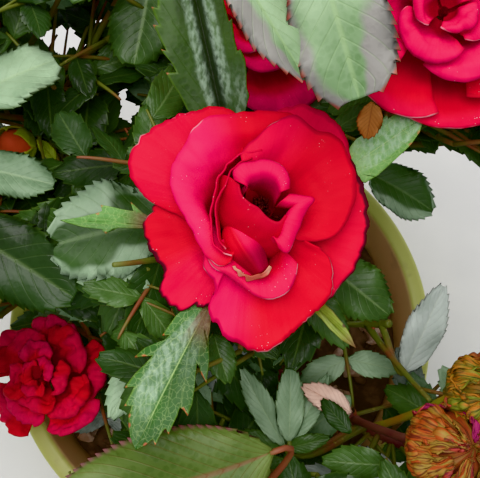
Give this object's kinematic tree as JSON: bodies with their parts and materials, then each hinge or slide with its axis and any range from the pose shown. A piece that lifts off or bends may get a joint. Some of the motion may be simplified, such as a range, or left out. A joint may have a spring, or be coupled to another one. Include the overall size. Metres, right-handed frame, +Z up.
{
  "type": "potted patio rose bush",
  "caption": "Small rose bush in a round tapered plastic pot, with open red blooms, buds, faded heads and toothed dark green leaves.",
  "frame": {"origin": "middle of the pot's flat underside", "axes": "+Z up along the pot's axis, -Y towards the side from which the large open bloom is seen"},
  "size_m": [0.2551, 0.2481, 0.2767],
  "materials": {
    "pot": "yellow-green, lightly worn satin",
    "soil": "dark moist compost with pale crumbs",
    "old_wood": "grey-brown bark",
    "cane": "smooth red-brown and green rind with prickles",
    "foliage": "dark green, half glossy above and paler below",
    "bloom": "scarlet to magenta velvet, thin dark dried margins",
    "faded_bloom": "dry, wrinkled, orange-brown with maroon folds",
    "bud": "yellow-green sepals round a red tip"
  },
  "bodies": {
    "root": {"pot": "pot", "soil": "soil", "stem_foot": "old_wood", "cane_centre": "cane", "foliage_centre": "foliage", "cane_back_right": "cane", "foliage_back_right": "foliage", "cane_back": "cane", "foliage_back": "foliage", "cane_back_left": "cane", "foliage_back_left": "foliage", "cane_left": "cane", "foliage_left": "foliage", "cane_front_left": "cane", "foliage_front_left": "foliage", "cane_front": "cane", "foliage_front": "foliage", "cane_front_right": "cane", "foliage_front_right": "foliage", "cane_right": "cane", "foliage_right": "foliage", "bloom_centre": "bloom", "bloom_back_right": "bloom", "bloom_back": "bloom", "bloom_front_left": "bloom", "bloom_front": "bloom", "faded_head_low": "faded_bloom", "faded_head_high": "faded_bloom", "bud_outer_back": "bud", "bud_outer_left": "bud", "bud_outer_right": "bud", "bud_left": "bud", "bud_front": "bud"}
  },
  "joints": []
}
